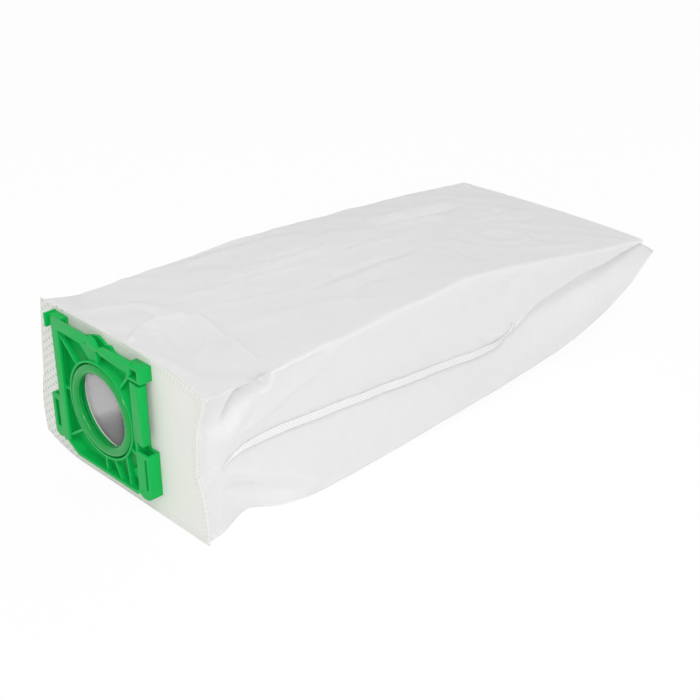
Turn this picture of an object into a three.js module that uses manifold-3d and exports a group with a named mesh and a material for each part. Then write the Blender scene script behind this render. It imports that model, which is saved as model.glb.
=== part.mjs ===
// A vacuum cleaner's dust bag, empty, lying on one broad side.
// A non-woven fabric sleeve with tucked sides is closed flat at its tail. Its square end is
// covered by a stiff fleece panel, which carries a moulded collar with a round sealing ring.
// Millimetres. While it is built, X runs along the bag from the panel's outer face to the tail,
// Y across it and Z up from the surface that it lies on. The finished group is centred along X.

import * as THREE from "three";
import { mergeVertices } from "three/addons/utils/BufferGeometryUtils.js";
import Module from "manifold-3d";

// Driving dimensions of the bag
const bagLength = 418;
const panelHeight = 105;
const panelTopFarHalfWidth = 75;
const panelTopNearHalfWidth = 80.5;
const panelBottomFarHalfWidth = 86;
const panelBottomNearHalfWidth = 77;
const crownDrop = 3.5;
const seamHeight = 44;
const midHalfWidth = 86;
const tailHalfWidth = 93;
const tailHeight = 68.8;
const tailThickness = 3.4;
const gussetDepth = 38;
const gussetLength = 168;
const fabricThickness = 0.8;
const foldNose = 2.4;
const tailSealWidth = 10;
const nearTailSetback = 9;
const nearCornerDrop = 9.5;
const tuckDepth = 10;
const panelThickness = 0.8;
const panelOverhang = 0.8;
const clearance = 0.3;

// Driving dimensions of the inlet
const inletY = 8.5;
const inletZ = 56.5;
const ringBoreRadius = 23;
const ringLipDepth = 4;
const ringFootWidth = 2.3;
const ringOuterRadius = 29.3;
const ringProud = 9;
const ringRounding = 2.2;
const socketGap = 0.7;
const socketWall = 1.4;
const socketProud = 8;
const plateHoleRadius = 27;
const plateThickness = 1.8;

// Driving dimensions of the collar's frame, measured from the inlet's centre
const frameDepth = 8.5;
const frameLeft = 43.5;
const frameRight = 42.5;
const frameTop = 46.5;
const frameBottom = 43;
const wall = 2;
const flangeWidth = 6.5;
const flangeThickness = 1.8;
const ribThickness = 1.6;
const ribHeight = 2.8;
const ribDepth = 7.4;

// Driving dimensions of the weld fin along each side
const finWidth = 9;
const finProud = 1.5;
const finStart = 12;

const sections = 35;
const roundSegments = 56;

const wasm = await Module();
wasm.setup();

// A closed three.js geometry as a solid that can be joined and cut
function solidOf(geometry) {
  const bare = geometry.clone();
  bare.deleteAttribute("normal");
  bare.deleteAttribute("uv");
  const merged = mergeVertices(bare.index ? bare.toNonIndexed() : bare, 1e-4);
  const mesh = new wasm.Mesh({
    numProp: 3,
    vertProperties: new Float32Array(merged.attributes.position.array),
    triVerts: new Uint32Array(merged.index.array),
  });
  return new wasm.Manifold(mesh);
}

// The geometry of a solid, with flat shading left to the material
function geometryOf(solid) {
  const mesh = solid.getMesh();
  const geometry = new THREE.BufferGeometry();
  geometry.setAttribute("position", new THREE.BufferAttribute(new Float32Array(mesh.vertProperties), 3));
  geometry.setIndex(new THREE.BufferAttribute(new Uint32Array(mesh.triVerts), 1));
  geometry.computeVertexNormals();
  return geometry;
}

function joined(solids) {
  return solids.reduce((sum, solid) => sum.add(solid));
}

// An outline in Y and Z, pushed along X from one place to another
const acrossTheBag = new THREE.Matrix4().set(0, 0, 1, 0, 1, 0, 0, 0, 0, 1, 0, 0, 0, 0, 0, 1);

function slab(shape, fromX, toX) {
  const geometry = new THREE.ExtrudeGeometry(shape, {
    depth: toX - fromX,
    bevelEnabled: false,
    curveSegments: roundSegments / 2,
  });
  geometry.translate(0, 0, fromX);
  return solidOf(geometry.applyMatrix4(acrossTheBag));
}

function outline(points) {
  return new THREE.Shape(points.map(([y, z]) => new THREE.Vector2(y, z)));
}

// A smooth curve through a few stations, without overshoot between them
function through(stations) {
  const xs = stations.map((station) => station[0]);
  const ys = stations.map((station) => station[1]);
  const slopes = xs.slice(1).map((x, i) => (ys[i + 1] - ys[i]) / (x - xs[i]));
  const tangents = xs.map((_, i) => {
    if (i === 0) return slopes[0];
    if (i === xs.length - 1) return slopes[i - 1];
    const before = slopes[i - 1];
    const after = slopes[i];
    return before * after <= 0 ? 0 : (2 * before * after) / (before + after);
  });
  return (x) => {
    let i = 0;
    while (i < xs.length - 2 && x > xs[i + 1]) i += 1;
    const span = xs[i + 1] - xs[i];
    const t = THREE.MathUtils.clamp((x - xs[i]) / span, 0, 1);
    const rise = ys[i + 1] - ys[i];
    const bend = t * (1 - t) * span;
    return ys[i] + rise * t * t * (3 - 2 * t) + bend * (tangents[i] * (1 - t) - tangents[i + 1] * t);
  };
}

// Places along the bag, counted from the panel at the head and from the seal at the tail
const tuckMiddle = 38;
const pocketEnd = 46;
const tuckEnd = 80;
const shoulder = 120;
const gussetStart = bagLength - gussetLength;
const midLength = gussetStart - 40;
const ridgeFall = bagLength - 144;
const bellyEnd = bagLength - 88;
const deepGusset = bagLength - 78;
const heel = bagLength - 38;

// Heights of the back's ridge, and of the tail, whose near corner gapes
const crownHeight = panelHeight - crownDrop;
const tailTop = tailHeight + tailThickness / 2;
const tailBottom = tailHeight - tailThickness / 2;
const nearTailTop = tailTop + 1.5;
const nearTailBottom = tailBottom - 7;
const farTailTop = tailTop - 1.2;
const farTailBottom = tailBottom - 3;
const seamTail = tailHeight - 0.4;
const gussetTip = tailHalfWidth - gussetDepth;

// Long edges of the sleeve: how far out each lies from the middle, and how high
const near = {
  topOut: through([
    [0, panelTopNearHalfWidth],
    [pocketEnd, panelTopNearHalfWidth + 1.5],
    [midLength, midHalfWidth],
    [deepGusset, tailHalfWidth - 4],
    [bagLength, tailHalfWidth - nearTailSetback],
  ]),
  topHigh: through([
    [0, panelHeight - nearCornerDrop],
    [pocketEnd, panelHeight - nearCornerDrop + 0.5],
    [shoulder, crownHeight - 3],
    [midLength, crownHeight],
    [ridgeFall, crownHeight - 7.5],
    [deepGusset, crownHeight - 17.5],
    [bagLength, nearTailTop],
  ]),
  creaseOut: through([
    [0, panelBottomNearHalfWidth - 5],
    [pocketEnd, panelBottomNearHalfWidth + 1.5],
    [midLength, midHalfWidth - 1],
    [gussetStart, midHalfWidth + 1.5],
    [deepGusset, tailHalfWidth - 3],
    [bagLength, tailHalfWidth - nearTailSetback],
  ]),
  creaseHigh: through([
    [0, seamHeight + 28],
    [pocketEnd, seamHeight + 30],
    [midLength, seamHeight + 16],
    [gussetStart, seamHeight + 6],
    [gussetStart + 40, seamHeight + 19],
    [deepGusset, seamHeight + 25],
    [bagLength, nearTailTop - foldNose],
  ]),
  seamOut: through([
    [0, panelBottomNearHalfWidth - 7.5],
    [pocketEnd, panelBottomNearHalfWidth - 1],
    [shoulder, midHalfWidth - 4],
    [gussetStart - 10, midHalfWidth - 2],
    [gussetStart + 40, gussetTip + 15],
    [bagLength, gussetTip],
  ]),
  seamHigh: through([
    [0, seamHeight],
    [31, seamHeight + 9.5],
    [midLength, seamHeight - 1],
    [gussetStart - 10, seamHeight - 3.5],
    [gussetStart + 50, seamHeight + 10],
    [bagLength, seamTail],
  ]),
  bottomOut: through([
    [0, panelBottomNearHalfWidth],
    [8, panelBottomNearHalfWidth - 0.5],
    [tuckMiddle, panelBottomNearHalfWidth - tuckDepth],
    [tuckMiddle + 17, panelBottomNearHalfWidth + 1.5],
    [tuckEnd, midHalfWidth - 2],
    [midLength, midHalfWidth + 0.5],
    [bellyEnd, tailHalfWidth - 0.5],
    [bagLength, tailHalfWidth + 2],
  ]),
  bottomHigh: through([
    [0, 0],
    [tuckEnd, 0],
    [midLength, 4.5],
    [ridgeFall, nearTailBottom - 49.5],
    [bellyEnd, nearTailBottom - 40.5],
    [heel, nearTailBottom - 24],
    [bagLength, nearTailBottom],
  ]),
};

const far = {
  topOut: through([
    [0, panelTopFarHalfWidth],
    [tuckEnd, panelTopFarHalfWidth + 3.5],
    [midLength, midHalfWidth],
    [bellyEnd, tailHalfWidth - 3],
    [bagLength, tailHalfWidth],
  ]),
  topHigh: through([
    [0, panelHeight],
    [30, panelHeight - 6],
    [60, panelHeight - 6.8],
    [shoulder + 30, crownHeight - 5.5],
    [midLength, crownHeight - 10.5],
    [bellyEnd, crownHeight - 21.5],
    [bagLength, farTailTop],
  ]),
  creaseOut: through([
    [0, panelTopFarHalfWidth + 4.3],
    [midLength, midHalfWidth - 1],
    [gussetStart, midHalfWidth + 1],
    [bagLength, tailHalfWidth],
  ]),
  creaseHigh: through([
    [0, seamHeight + 32],
    [midLength, seamHeight + 16],
    [gussetStart, seamHeight + 8],
    [gussetStart + 40, seamHeight + 16],
    [deepGusset, seamHeight + 21],
    [bagLength, farTailTop - foldNose],
  ]),
  seamOut: through([
    [0, panelBottomFarHalfWidth - 3.5],
    [shoulder, midHalfWidth - 3.5],
    [gussetStart - 10, midHalfWidth - 2],
    [gussetStart + 40, gussetTip + 15],
    [bagLength, gussetTip],
  ]),
  seamHigh: through([
    [0, seamHeight + 6],
    [midLength, seamHeight + 2],
    [gussetStart - 10, seamHeight],
    [gussetStart + 50, seamHeight + 10],
    [bagLength, seamTail],
  ]),
  bottomOut: through([
    [0, panelBottomFarHalfWidth],
    [60, panelBottomFarHalfWidth - 5],
    [midLength, midHalfWidth],
    [bellyEnd, tailHalfWidth - 2],
    [bagLength, tailHalfWidth],
  ]),
  bottomHigh: through([
    [0, 8],
    [60, 4],
    [midLength, 5],
    [ridgeFall, farTailBottom - 54],
    [bellyEnd, farTailBottom - 44],
    [heel, farTailBottom - 27],
    [bagLength, farTailBottom],
  ]),
};

const topMiddle = through([
  [0, panelHeight],
  [pocketEnd, panelHeight - 4],
  [shoulder + 30, crownHeight + 0.5],
  [midLength, crownHeight - 2.5],
  [bellyEnd, crownHeight - 17],
  [bagLength, tailTop],
]);

const bottomMiddle = through([
  [0, 0],
  [gussetStart + 40, 0],
  [deepGusset, tailBottom - 58],
  [heel, tailBottom - 36],
  [bagLength, tailBottom],
]);

// One side of the sleeve at x, from its top edge down, as places across and up
function sidePoints(side, x, steps) {
  const bend = [
    [side.topOut(x), side.topHigh(x)],
    [side.creaseOut(x), side.creaseHigh(x)],
    [side.seamOut(x), side.seamHigh(x)],
    [side.bottomOut(x), side.bottomHigh(x) + foldNose],
  ];
  const points = [];
  for (let leg = 0; leg < 3; leg += 1) {
    for (let i = 0; i < steps[leg]; i += 1) {
      const t = i / steps[leg];
      points.push([0, 1].map((axis) => THREE.MathUtils.lerp(bend[leg][axis], bend[leg + 1][axis], t)));
    }
  }
  points.push(bend[3]);
  return points;
}

// A sheet between the two sides: from one edge over its middle, which is flat for a while, to the other
function sheetPoints(fromEdge, toEdge, middleHigh, steps, flatPart) {
  const points = [];
  for (let i = 1; i < steps; i += 1) {
    const t = i / steps;
    const edgeHigh = THREE.MathUtils.lerp(fromEdge[1], toEdge[1], t);
    const fromMiddle = Math.abs(2 * t - 1);
    const bow = 1 - Math.max((fromMiddle - flatPart) / (1 - flatPart), 0) ** 2;
    const middle = (fromEdge[1] + toEdge[1]) / 2;
    const straight = THREE.MathUtils.lerp(edgeHigh, middle, bow);
    points.push([THREE.MathUtils.lerp(fromEdge[0], toEdge[0], t), straight + (middleHigh - middle) * bow]);
  }
  return points;
}

// The sleeve's closed section at x, seen from the tail, anticlockwise
const sideSteps = [3, 4, 4];

function section(x) {
  const farSide = sidePoints(far, x, sideSteps);
  const nearSide = sidePoints(near, x, sideSteps).map(([out, high]) => [-out, high]);
  const nearBottom = [-near.bottomOut(x) + 0.4, near.bottomHigh(x)];
  const farBottom = [far.bottomOut(x) - 0.4, far.bottomHigh(x)];
  return [
    ...farSide.slice().reverse(),
    ...sheetPoints(farSide[0], nearSide[0], topMiddle(x), 10, 0),
    ...nearSide,
    nearBottom,
    ...sheetPoints(nearBottom, farBottom, bottomMiddle(x), 8, 0.5),
    farBottom,
  ];
}

// The same section, drawn in from every side
function inset(points, distance) {
  const count = points.length;
  return points.map(([y, z], i) => {
    const before = points[(i + count - 1) % count];
    const after = points[(i + 1) % count];
    const edgeIn = new THREE.Vector2(y - before[0], z - before[1]).normalize();
    const edgeOut = new THREE.Vector2(after[0] - y, after[1] - z).normalize();
    const along = edgeIn.clone().add(edgeOut).normalize();
    const spread = Math.max(edgeIn.dot(along), 0.6);
    return [y - (along.y * distance) / spread, z + (along.x * distance) / spread];
  });
}

// A closed skin over a row of sections with equal point counts
function loft(rows) {
  const positions = [];
  const faces = [];
  const count = rows[0].points.length;
  rows.forEach(({ x, points }) => points.forEach(([y, z]) => positions.push(x, y, z)));
  for (let row = 0; row < rows.length - 1; row += 1) {
    for (let i = 0; i < count; i += 1) {
      const a = row * count + i;
      const b = row * count + ((i + 1) % count);
      faces.push(a, b, b + count, a, b + count, a + count);
    }
  }
  const capOf = (row, turned) => {
    const ring = rows[row].points.map(([y, z]) => new THREE.Vector2(y, z));
    THREE.ShapeUtils.triangulateShape(ring, []).forEach(([a, b, c]) => {
      const base = row * count;
      faces.push(base + a, base + (turned ? c : b), base + (turned ? b : c));
    });
  };
  capOf(0, true);
  capOf(rows.length - 1, false);
  const geometry = new THREE.BufferGeometry();
  geometry.setAttribute("position", new THREE.Float32BufferAttribute(positions, 3));
  geometry.setIndex(faces);
  return solidOf(geometry);
}

function sleeveSkin(fromX, toX, drawnIn) {
  const rows = [];
  for (let i = 0; i < sections; i += 1) {
    const x = THREE.MathUtils.lerp(fromX, toX, i / (sections - 1));
    rows.push({ x, points: inset(section(x), drawnIn) });
  }
  return loft(rows);
}

// The weld fin that lies along the seam of one side
function weldFin(side, sign) {
  const rows = [];
  const finEnd = gussetStart - 4;
  const steps = 20;
  for (let i = 0; i <= steps; i += 1) {
    const x = THREE.MathUtils.lerp(finStart, finEnd, i / steps);
    const out = side.seamOut(x);
    const high = side.seamHigh(x);
    const top = [out + (side.creaseOut(x) - out) * 0.2, high + finWidth / 2];
    const low = [out + (side.bottomOut(x) - out) * 0.1, high - finWidth / 2];
    const root = fabricThickness / 2;
    const ring = [
      [top[0] - root, top[1]],
      [out - root, high],
      [low[0] - root, low[1]],
      [low[0] + finProud, low[1]],
      [out + finProud, high],
      [top[0] + finProud / 2, top[1]],
    ].map(([across, up]) => [sign * across, up]);
    rows.push({ x, points: sign > 0 ? ring : ring.reverse() });
  }
  return loft(rows);
}

const panelBack = panelThickness;
const sleeveFront = panelBack + clearance;

function filterSleeve() {
  const skin = sleeveSkin(sleeveFront, bagLength, 0);
  const dustSpace = sleeveSkin(sleeveFront + fabricThickness, bagLength - tailSealWidth, fabricThickness);
  const hole = disc(plateHoleRadius + 1, sleeveFront - 1, sleeveFront + fabricThickness + 1);
  const shell = joined([skin, weldFin(near, -1), weldFin(far, 1)]);
  return shell.subtract(dustSpace).subtract(hole);
}

// A round slab on the inlet's axis
function disc(radius, fromX, toX) {
  const circle = new THREE.Shape().absarc(inletY, inletZ, radius, 0, 2 * Math.PI);
  return slab(circle, fromX, toX);
}

function endPanel() {
  const edge = inset(section(sleeveFront), -panelOverhang).map(([y, z]) => [y, Math.max(z, 0)]);
  const sheet = slab(outline(edge), 0, panelBack);
  return sheet.subtract(disc(plateHoleRadius, -1, panelBack + 1));
}

// A block of the collar: places measured from the inlet's centre, depths from the panel's face
const plateBack = clearance;
const plateFront = plateBack + plateThickness;

function block(fromY, toY, fromZ, toZ, fromDepth, toDepth) {
  const depth = toDepth - fromDepth;
  const geometry = new THREE.BoxGeometry(depth, toY - fromY, toZ - fromZ);
  geometry.translate(-(fromDepth + toDepth) / 2, inletY + (fromY + toY) / 2, inletZ + (fromZ + toZ) / 2);
  return solidOf(geometry);
}

function collarSlab(points, fromDepth, toDepth) {
  return slab(outline(points.map(([y, z]) => [inletY + y, inletZ + z])), -toDepth, -fromDepth);
}

// A straight rib between two places of the collar, clear of its plate
function rib(from, to) {
  const along = new THREE.Vector2(to[0] - from[0], to[1] - from[1]).normalize();
  const half = new THREE.Vector2(-along.y, along.x).multiplyScalar(ribThickness / 2);
  const corners = [
    [from[0] + half.x, from[1] + half.y],
    [from[0] - half.x, from[1] - half.y],
    [to[0] - half.x, to[1] - half.y],
    [to[0] + half.x, to[1] + half.y],
  ];
  return collarSlab(corners, ribDepth - ribHeight, ribDepth);
}

// The flat plate at the collar's back, with a raised tab on its top edge
const bottomCut = [11, 8];
const plateTop = frameTop - 7;
const tabTop = frameTop - 1;

function collarPlate() {
  const points = [
    [-frameRight + 2, -frameBottom + bottomCut[1]],
    [-frameRight + bottomCut[0], -frameBottom],
    [frameLeft - bottomCut[0] - 3, -frameBottom],
    [frameLeft, -frameBottom + bottomCut[1]],
    [frameLeft, plateTop + 1],
    [20, plateTop + 1],
    [15, plateTop + 3],
    [9, tabTop - 1],
    [5, tabTop],
    [1, tabTop - 1.5],
    [-3, plateTop + 2.5],
    [-7, plateTop + 3.5],
    [-10, plateTop + 0.5],
    [-14, plateTop],
    [-frameRight + 5, plateTop],
    [-frameRight + 5, -frameBottom + bottomCut[1] + 4],
  ];
  return collarSlab(points, plateBack, plateFront);
}

// Walls that stand on the plate's edge, and the flanges on top of them
function collarFrame() {
  const bottomWall = [
    [-frameRight, -frameBottom + bottomCut[1]],
    [-frameRight + bottomCut[0], -frameBottom],
    [frameLeft - bottomCut[0] - 3, -frameBottom],
    [frameLeft, -frameBottom + bottomCut[1]],
    [frameLeft - wall, -frameBottom + bottomCut[1] + 1],
    [frameLeft - bottomCut[0] - 4, -frameBottom + wall],
    [-frameRight + bottomCut[0] + 1, -frameBottom + wall],
    [-frameRight + wall, -frameBottom + bottomCut[1] + 1],
  ];
  const flangeBack = frameDepth - flangeThickness;
  return joined([
    collarSlab(bottomWall, plateBack, frameDepth),
    block(frameLeft - wall, frameLeft, -frameBottom + bottomCut[1], frameTop - 9, plateBack, frameDepth),
    block(frameLeft - flangeWidth, frameLeft, -frameBottom + bottomCut[1] - 2, frameTop - flangeWidth,
      flangeBack, frameDepth),
  ]);
}

// The bridge along the top: a bar with a notch, and the web that ties it to the socket
const notchY = -3.5;

function topBridge() {
  const bar = [
    [-frameRight + 8, frameTop - 9.5],
    [notchY - 3, frameTop - 7.5],
    [notchY, frameTop - 5.5],
    [notchY + 2, frameTop - 7],
    [frameLeft, frameTop - flangeWidth],
    [frameLeft, frameTop],
    [9, frameTop - 1],
    [5, frameTop + 1],
    [notchY + 4, frameTop - 0.5],
    [notchY + 0.5, frameTop - 4.8],
    [notchY - 2.5, frameTop - 2.6],
    [-frameRight + 8, frameTop - 2],
  ];
  const web = [
    [notchY + 3, socketOuterRadius - 1],
    [8, socketOuterRadius - 2],
    [20, frameTop - flangeWidth + 0.5],
    [notchY + 3, frameTop - flangeWidth + 0.5],
  ];
  return joined([
    collarSlab(bar, frameDepth - 2.4, frameDepth),
    collarSlab(web, frameDepth - 4, frameDepth - 2),
  ]).subtract(pinHole());
}

function pinHole() {
  const hole = new THREE.CylinderGeometry(0.8, 0.8, frameDepth, 16);
  hole.rotateZ(Math.PI / 2);
  hole.translate(-frameDepth, inletY + 8, inletZ + frameTop - 4.5);
  return solidOf(hole);
}

// The rail on the near side: a broad flange with a raised outer strip, open behind its outer edge
const railBottom = -6;
const railTop = frameTop - 14;
const railWidth = 9.5;
const railStrip = 4;
const railStripProud = 0.7;

function sideRail() {
  const inner = -frameRight + railWidth;
  const flangeBack = frameDepth - flangeThickness;
  return joined([
    block(-frameRight, inner, railBottom, railTop, flangeBack, frameDepth),
    block(-frameRight, -frameRight + railStrip, railBottom, railTop, flangeBack, frameDepth + railStripProud),
    block(-frameRight, -frameRight + wall, railBottom, railTop, frameDepth - 4.5, frameDepth),
    block(inner - wall, inner, -frameBottom + bottomCut[1], railTop, plateBack, frameDepth - 0.4),
  ]);
}

// The near ear: a box with a pocket in its front
const earWidth = 12;

function nearEar() {
  const [earLow, earHigh] = [frameTop - 12.5, frameTop - 3];
  const ear = block(-frameRight - 1, -frameRight + earWidth, earLow, earHigh, plateBack, frameDepth);
  const pocket = block(-frameRight + 2, -frameRight + earWidth - 2.5, frameTop - 11, frameTop - 5,
    plateFront + 1, frameDepth + 1);
  return ear.subtract(pocket);
}

// The far ear: a fin, its back plate and a sloping roof
function farEar() {
  const finOut = frameLeft + 7.5;
  return joined([
    block(finOut - wall + 0.4, finOut, frameTop - 8.5, frameTop + 0.3, plateBack, frameDepth),
    block(frameLeft - 6, finOut, frameTop - 10, frameTop - 1, plateBack, plateFront),
    block(frameLeft - 6, finOut, frameTop - 2.3, frameTop - 0.5, plateBack, frameDepth - 2.5),
  ]);
}

// The latch boxes beside the frame: each hollow and open at its top, with a slot in its front
const latchWall = 1.5;
const latchFloor = 4;
const nearLatch = {
  across: [-frameRight - 2.5, -frameRight + 9],
  up: [-frameBottom, -12],
  slot: [-frameRight - 0.5, -frameRight + 1.5],
};
const farLatch = {
  across: [frameLeft - latchWall, frameLeft + 8.5],
  up: [-frameBottom + 6.5, -7.5],
  slot: [frameLeft + 2, frameLeft + 6],
};

function latchBody({ across: [fromY, toY], up: [fromZ, toZ] }) {
  const cornerWidth = (toY - fromY) * 0.3;
  const cornerRise = latchFloor / 2;
  return collarSlab([
    [fromY, fromZ + cornerRise],
    [fromY + cornerWidth, fromZ],
    [toY - cornerWidth, fromZ],
    [toY, fromZ + cornerRise],
    [toY, toZ],
    [fromY, toZ],
  ], plateBack, frameDepth);
}

function latchPocket({ across: [fromY, toY], up: [fromZ, toZ], slot: [slotFrom, slotTo] }) {
  const hollow = block(fromY + latchWall, toY - latchWall, fromZ + latchFloor, toZ + 1,
    plateFront, frameDepth - latchWall);
  const slot = block(slotFrom, slotTo, fromZ + 7, toZ - 3, frameDepth - 3, frameDepth + 1);
  return hollow.add(slot);
}

const socketInnerRadius = ringOuterRadius + socketGap;
const socketOuterRadius = socketInnerRadius + socketWall;

function inletCollar() {
  const socket = disc(socketOuterRadius, -socketProud, -plateBack);
  const rimReach = socketOuterRadius - socketWall / 2;
  const spoke = (angle, outer) => {
    const direction = [Math.cos(angle), Math.sin(angle)];
    return rib(direction.map((part) => part * rimReach), outer);
  };
  const ribs = [
    spoke(0.81, [frameLeft - wall, frameTop - flangeWidth]),
    spoke(2.31, [-frameRight + 10, frameTop - 10]),
    spoke(3.93, [frameLeft * -0.55, -frameBottom + wall / 2]),
    spoke(5.5, [frameLeft - wall, -frameBottom + bottomCut[1]]),
    spoke(Math.PI / 2, [0, plateTop]),
    spoke(-Math.PI / 2, [0, -frameBottom + wall / 2]),
    spoke(0.06, [frameLeft - wall / 2, 2]),
    spoke(3.1, [-frameRight + 9, -1]),
    spoke(3.62, [-frameRight + 9, -17]),
    rib([-9, 1 - socketOuterRadius], [-15, wall / 2 - frameBottom]),
  ];
  const lug = block(-29, -24, -frameBottom + 8, -frameBottom + 14, plateBack, 5);
  const solid = joined([
    collarPlate(),
    collarFrame(),
    topBridge(),
    sideRail(),
    nearEar(),
    farEar(),
    latchBody(nearLatch),
    latchBody(farLatch),
    socket,
    lug,
    ...ribs,
  ]);
  const seat = disc(socketInnerRadius, -frameDepth - 1, -plateFront);
  const hole = disc(plateHoleRadius, -frameDepth - 1, 1);
  return solid.subtract(seat).subtract(hole).subtract(latchPocket(nearLatch)).subtract(latchPocket(farLatch));
}

// The ring's section: a fat lip with a rounded front, on the inlet's axis
function sealingRing() {
  const back = plateFront + clearance;
  const front = ringProud;
  const lip = new THREE.Path();
  const footRadius = ringOuterRadius - ringFootWidth;
  lip.moveTo(footRadius, back);
  lip.lineTo(ringOuterRadius, back);
  lip.lineTo(ringOuterRadius, front - ringRounding);
  lip.absarc(ringOuterRadius - ringRounding, front - ringRounding, ringRounding, 0, Math.PI / 2);
  lip.lineTo(ringBoreRadius + ringRounding, front);
  lip.absarc(ringBoreRadius + ringRounding, front - ringRounding, ringRounding, Math.PI / 2, Math.PI);
  lip.lineTo(ringBoreRadius, front - ringLipDepth);
  lip.lineTo(footRadius - 1, front - ringLipDepth);
  lip.lineTo(footRadius, back);
  const ring = new THREE.LatheGeometry(lip.getPoints(3), roundSegments);
  ring.rotateZ(Math.PI / 2);
  ring.translate(0, inletY, inletZ);
  return solidOf(ring);
}

// Materials and the finished group
const fabric = new THREE.MeshStandardMaterial({ color: 0xe9e9ee, roughness: 0.95, metalness: 0 });
const fleece = new THREE.MeshStandardMaterial({ color: 0xe2e2d9, roughness: 0.95, metalness: 0 });
const moulding = new THREE.MeshStandardMaterial({ color: 0x14a84e, roughness: 0.4, metalness: 0 });
const sealing = new THREE.MeshStandardMaterial({ color: 0x1cba5e, roughness: 0.3, metalness: 0 });

function named(name, solid, material) {
  const mesh = new THREE.Mesh(geometryOf(solid), material);
  mesh.name = name;
  return mesh;
}

const frontReach = Math.max(ringProud, frameDepth + railStripProud);
const bag = new THREE.Group();
bag.add(named("filter_sleeve", filterSleeve(), fabric));
bag.add(named("end_panel", endPanel(), fleece));
bag.add(named("inlet_collar", inletCollar(), moulding));
bag.add(named("sealing_ring", sealingRing(), sealing));
bag.position.x = -(bagLength - frontReach) / 2;

export default bag;
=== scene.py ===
"""An empty vacuum cleaner dust bag of white non-woven fabric, with a green moulded inlet collar.

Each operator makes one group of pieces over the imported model. The bag lies on one broad side: +X
runs from the collar to the closed tail, +Y across the bag and +Z up.
"""

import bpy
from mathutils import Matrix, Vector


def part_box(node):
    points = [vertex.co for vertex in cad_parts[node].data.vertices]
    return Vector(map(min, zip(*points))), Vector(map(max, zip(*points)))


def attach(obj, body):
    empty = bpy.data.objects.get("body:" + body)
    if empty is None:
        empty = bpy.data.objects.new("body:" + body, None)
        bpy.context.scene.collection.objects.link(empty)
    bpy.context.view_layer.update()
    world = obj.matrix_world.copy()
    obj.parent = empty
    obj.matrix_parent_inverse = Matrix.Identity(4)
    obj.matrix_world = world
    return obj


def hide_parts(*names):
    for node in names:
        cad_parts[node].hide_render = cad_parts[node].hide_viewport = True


bl_info = {
    "name": "Vacuum cleaner dust bag",
    "version": (1, 0, 0),
    "blender": (4, 5, 0),
    "location": "3D View > Sidebar > Dust bag",
    "description": "Makes a fabric dust bag with its end panel, inlet collar and sealing ring",
    "category": "Add Mesh",
}

import math

import bmesh
import bpy
import numpy as np
from bpy.props import FloatProperty, FloatVectorProperty, IntProperty, PointerProperty
from mathutils import Matrix, Vector

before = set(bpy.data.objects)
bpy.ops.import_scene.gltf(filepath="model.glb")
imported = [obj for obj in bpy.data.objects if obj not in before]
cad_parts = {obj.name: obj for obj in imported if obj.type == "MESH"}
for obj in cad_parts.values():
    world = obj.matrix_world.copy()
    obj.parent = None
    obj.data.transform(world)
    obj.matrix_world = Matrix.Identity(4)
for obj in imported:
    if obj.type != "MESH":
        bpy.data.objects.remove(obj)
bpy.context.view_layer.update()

MM = 0.001
PANEL_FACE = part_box("end_panel")[0][0]
RING_LOW, RING_HIGH = (Vector(corner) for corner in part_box("sealing_ring"))
INLET = (RING_LOW + RING_HIGH) / 2

# Lengths of the bag in millimetres: along it from the panel's face, across it from its middle, and
# up from the floor
SLEEVE_START, SLEEVE_END = 1.1, 418.0
GUSSET_SHUT, GUSSET_OPEN = 235, 300
POCKET_DEPTH = 15.0
PANEL_THICK = 0.8
PANEL_MARGIN = 0.7
PANEL_HOLE = 27.0
# This share of the sleeve's rows lies before this place, so they are closest there
FINE_ROWS_SHARE, FINE_ROWS_END = 0.24, 56

# Points of a mesh that lie closer than this, in metres, are one
SAME_PLACE = 1e-6
# The welded flaps' colour
SEAM_WHITE = "dedede"

# The camera's place in metres, and its tilt and turn in degrees, fitted to the photograph
CAMERA_PLACE = (-0.5503, -0.5355, 0.4188)
CAMERA_TILT, CAMERA_TURN = 62.687, -45.029


def linear(hex_colour):
    """The linear RGB of an sRGB colour written as a hex string."""
    parts = [int(hex_colour[i : i + 2], 16) / 255 for i in (0, 2, 4)]
    return tuple(p / 12.92 if p <= 0.04045 else ((p + 0.055) / 1.055) ** 2.4 for p in parts)


def through(stations):
    """A smooth curve through a few stations, without overshoot between them."""
    xs, ys = np.array(stations, float).T
    slopes = np.diff(ys) / np.diff(xs)
    before, after = slopes[:-1], slopes[1:]
    same_way = before * after > 0
    middle = np.where(same_way, 2 * before * after / np.where(same_way, before + after, 1), 0)
    tangents = np.concatenate([slopes[:1], middle, slopes[-1:]])

    def curve(x):
        i = np.clip(np.searchsorted(xs, x, side="right") - 1, 0, len(xs) - 2)
        span = xs[i + 1] - xs[i]
        t = np.clip((x - xs[i]) / span, 0, 1)
        rise = ys[i + 1] - ys[i]
        pull = tangents[i] * (1 - t) - tangents[i + 1] * t
        return ys[i] + rise * t * t * (3 - 2 * t) + t * (1 - t) * span * pull

    return curve


def smooth_step(low, high, value):
    """0 up to low and 1 from high on, with a smooth rise between them."""
    t = np.clip((value - low) / (high - low), 0, 1)
    return t * t * (3 - 2 * t)


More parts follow.
